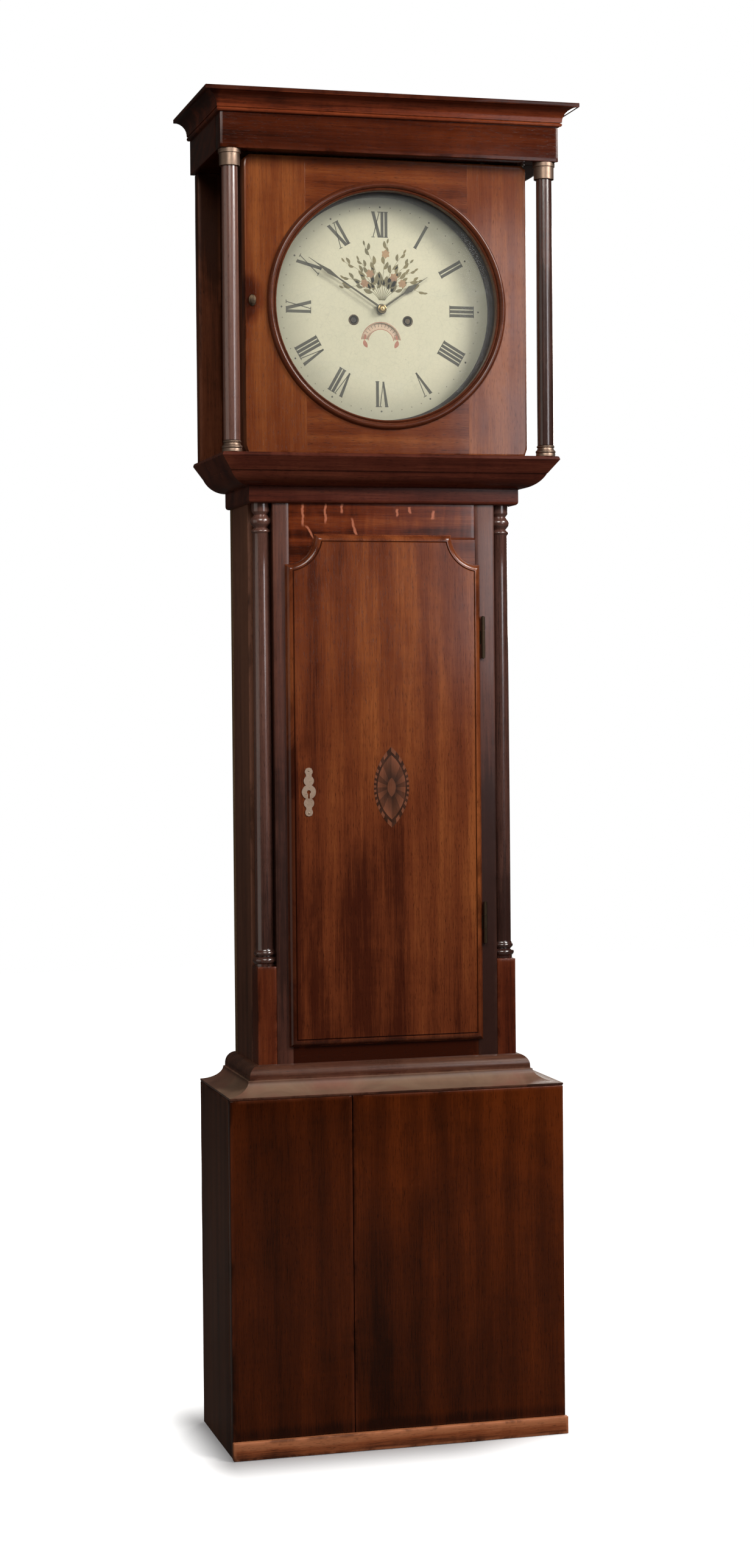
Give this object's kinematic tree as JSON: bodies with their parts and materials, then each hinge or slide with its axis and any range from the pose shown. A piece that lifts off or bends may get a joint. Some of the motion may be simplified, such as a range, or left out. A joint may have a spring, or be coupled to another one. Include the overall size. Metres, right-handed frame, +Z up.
{
  "type": "longcase clock",
  "caption": "Longcase clock with a square hood on columns, a round painted dial, a trunk door with hollow upper corners between corner columns, and a weight-driven pendulum movement",
  "frame": {"origin": "on the floor, under the middle of the bounding box", "axes": "X is the clock's width with +X to the right as seen from the front, -Y is the front, Z is up"},
  "size_m": [0.582, 0.253, 2.05],
  "materials": {
    "base_mahogany": "old dark brown mahogany, waxed",
    "side_mahogany": "near-black brown mahogany, waxed",
    "trunk_mahogany": "red-brown mahogany, French polished",
    "door_mahogany": "figured red-brown mahogany, French polished",
    "hood_mahogany": "orange-red mahogany, French polished",
    "frieze_mahogany": "dark red mahogany, French polished",
    "moulding_mahogany": "dusty brown mahogany, worn wax",
    "skirt_wood": "scuffed brown wood",
    "column_mahogany": "turned dark mahogany, polished",
    "pine": "plain old softwood, unpolished",
    "inlay_wood": "pale inlaid veneers",
    "polished_brass": "old lacquered brass",
    "movement_brass": "dull clock brass",
    "steel": "oil-darkened steel",
    "weight_iron": "painted cast iron",
    "dial_enamel": "aged cream dial paint",
    "hand_metal": "dark painted hands",
    "door_glass": "clear old glass",
    "gut": "twisted gut line"
  },
  "bodies": {
    "case": {"base_front": "base_mahogany", "base_sides": "base_mahogany", "base_floor": "pine", "plinth_skirt": "skirt_wood", "base_moulding": "moulding_mahogany", "trunk_sides": "side_mahogany", "trunk_stiles": "trunk_mahogany", "trunk_rails": "trunk_mahogany", "trunk_columns": "column_mahogany", "column_blocks": "trunk_mahogany", "throat_moulding": "frieze_mahogany", "backboards": "pine", "seatboard": "pine", "trunk_hinge_leaves": "polished_brass", "dial": "dial_enamel", "movement_pillars": "movement_brass", "front_plate": "movement_brass", "back_plate": "movement_brass", "movement_brackets": "movement_brass", "bell": "movement_brass", "line_ends": "gut", "going_line": "gut", "strike_line": "gut"},
    "hood": {"hood_top_board": "pine", "hood_cornice": "frieze_mahogany", "hood_frieze": "frieze_mahogany", "hood_sides": "side_mahogany", "hood_rear_posts": "side_mahogany", "hood_frame": "frieze_mahogany", "hood_columns": "column_mahogany", "column_brasses": "polished_brass", "hood_mask": "pine"},
    "hood_door": {"hood_door_frame": "hood_mahogany", "hood_door_bezel": "hood_mahogany", "hood_door_glass": "door_glass", "hood_door_pivots": "polished_brass"},
    "trunk_door": {"trunk_door": "door_mahogany", "trunk_door_inlay": "inlay_wood", "trunk_door_escutcheon": "polished_brass", "trunk_door_lock": "movement_brass", "trunk_door_hinges": "polished_brass"},
    "pendulum": {"pendulum_rod": "steel", "pendulum_bob": "polished_brass"},
    "anchor": {"pallet_anchor": "steel"},
    "minute_train": {"centre_wheel": "movement_brass", "minute_hand": "hand_metal"},
    "hour_train": {"hour_wheel": "movement_brass", "hour_hand": "hand_metal"},
    "minute_wheel": {"minute_wheel": "movement_brass"},
    "date_ring": {"date_ring": "dial_enamel"},
    "great_wheel": {"great_wheel": "movement_brass"},
    "third_wheel": {"third_wheel": "movement_brass"},
    "escape_wheel": {"escape_wheel": "movement_brass"},
    "hammer": {"bell_hammer": "steel"},
    "going_barrel": {"going_barrel": "movement_brass"},
    "strike_barrel": {"strike_barrel": "movement_brass"},
    "going_weight": {"going_weight": "weight_iron"},
    "strike_weight": {"strike_weight": "weight_iron"},
    "going_pulley": {"going_pulley": "movement_brass"},
    "strike_pulley": {"strike_pulley": "movement_brass"}
  },
  "joints": [
    {"name": "hood_slide", "type": "slide", "parent": "case", "child": "hood", "axis": [0, -1, 0], "range_m": [0, 0.26]},
    {"name": "hood_door_hinge", "type": "hinge", "parent": "hood", "child": "hood_door", "pos_m": [0.217, -0.0645, 1.73875], "axis": [0, 0, 1], "range_deg": [0, 100]},
    {"name": "trunk_door_hinge", "type": "hinge", "parent": "case", "child": "trunk_door", "pos_m": [0.1555, -0.046, 1.0025], "axis": [0, 0, 1], "range_deg": [0, 100]},
    {"name": "pendulum_swing", "type": "hinge", "parent": "case", "child": "pendulum", "pos_m": [0, 0.081, 1.80966], "axis": [0, 1, 0], "range_deg": [-3, 3]},
    {"name": "anchor_rock", "type": "hinge", "parent": "case", "child": "anchor", "pos_m": [0, 0.043, 1.80966], "axis": [0, 1, 0], "range_deg": [-3, 3]},
    {"name": "minute_arbor", "type": "hinge", "parent": "case", "child": "minute_train", "pos_m": [0, -0.01, 1.74075], "axis": [0, 1, 0], "continuous": true},
    {"name": "hour_pipe", "type": "hinge", "parent": "case", "child": "hour_train", "pos_m": [0, -0.02, 1.74075], "axis": [0, 1, 0], "continuous": true},
    {"name": "minute_wheel_stud", "type": "hinge", "parent": "case", "child": "minute_wheel", "pos_m": [-0.0126, -0.008, 1.71893], "axis": [0, 1, 0], "continuous": true},
    {"name": "date_stud", "type": "hinge", "parent": "case", "child": "date_ring", "pos_m": [0, -0.0257, 1.68975], "axis": [0, 1, 0], "continuous": true},
    {"name": "great_wheel_arbor", "type": "hinge", "parent": "case", "child": "great_wheel", "pos_m": [0.043, 0.052, 1.72375], "axis": [0, 1, 0], "continuous": true},
    {"name": "third_arbor", "type": "hinge", "parent": "case", "child": "third_wheel", "pos_m": [0.0136, 0.03, 1.76431], "axis": [0, 1, 0], "continuous": true},
    {"name": "escape_arbor", "type": "hinge", "parent": "case", "child": "escape_wheel", "pos_m": [0, 0.03, 1.78166], "axis": [0, 1, 0], "continuous": true},
    {"name": "hammer_pivot", "type": "hinge", "parent": "case", "child": "hammer", "pos_m": [-0.05, 0.03, 1.78575], "axis": [0, 1, 0], "range_deg": [-10, 0], "stiffness_Nm_per_rad": 0.05},
    {"name": "going_weight_drop", "type": "slide", "parent": "case", "child": "going_weight", "axis": [0, 0, 1], "range_m": [0, 1.28], "deforming": ["going_line"]},
    {"name": "strike_weight_drop", "type": "slide", "parent": "case", "child": "strike_weight", "axis": [0, 0, 1], "range_m": [0, 1.28], "deforming": ["strike_line"]},
    {"name": "going_barrel_arbor", "type": "hinge", "parent": "case", "child": "going_barrel", "pos_m": [0.043, 0.03125, 1.72375], "axis": [0, 1, 0], "continuous": true},
    {"name": "strike_barrel_arbor", "type": "hinge", "parent": "case", "child": "strike_barrel", "pos_m": [-0.043, 0.03125, 1.72375], "axis": [0, 1, 0], "continuous": true},
    {"name": "going_pulley_pin", "type": "hinge", "parent": "going_weight", "child": "going_pulley", "pos_m": [0.038, 0.03125, 0.292], "axis": [0, 1, 0], "continuous": true},
    {"name": "strike_pulley_pin", "type": "hinge", "parent": "strike_weight", "child": "strike_pulley", "pos_m": [-0.048, 0.03125, 0.292], "axis": [0, 1, 0], "continuous": true}
  ],
  "couplings": [
    {"joint": "anchor_rock", "follows": "pendulum_swing", "ratio": 1},
    {"joint": "hour_pipe", "follows": "minute_arbor", "ratio": 0.083333},
    {"joint": "minute_wheel_stud", "follows": "minute_arbor", "ratio": -0.5},
    {"joint": "date_stud", "follows": "minute_arbor", "ratio": 0.0013441},
    {"joint": "great_wheel_arbor", "follows": "minute_arbor", "ratio": -0.083333},
    {"joint": "third_arbor", "follows": "minute_arbor", "ratio": -7.5},
    {"joint": "escape_arbor", "follows": "minute_arbor", "ratio": 60},
    {"joint": "going_barrel_arbor", "follows": "going_weight_drop", "rad_per_m": 76.336},
    {"joint": "going_pulley_pin", "follows": "going_weight_drop", "rad_per_m": 47.17},
    {"joint": "strike_barrel_arbor", "follows": "strike_weight_drop", "rad_per_m": 76.336},
    {"joint": "strike_pulley_pin", "follows": "strike_weight_drop", "rad_per_m": 47.17}
  ]
}
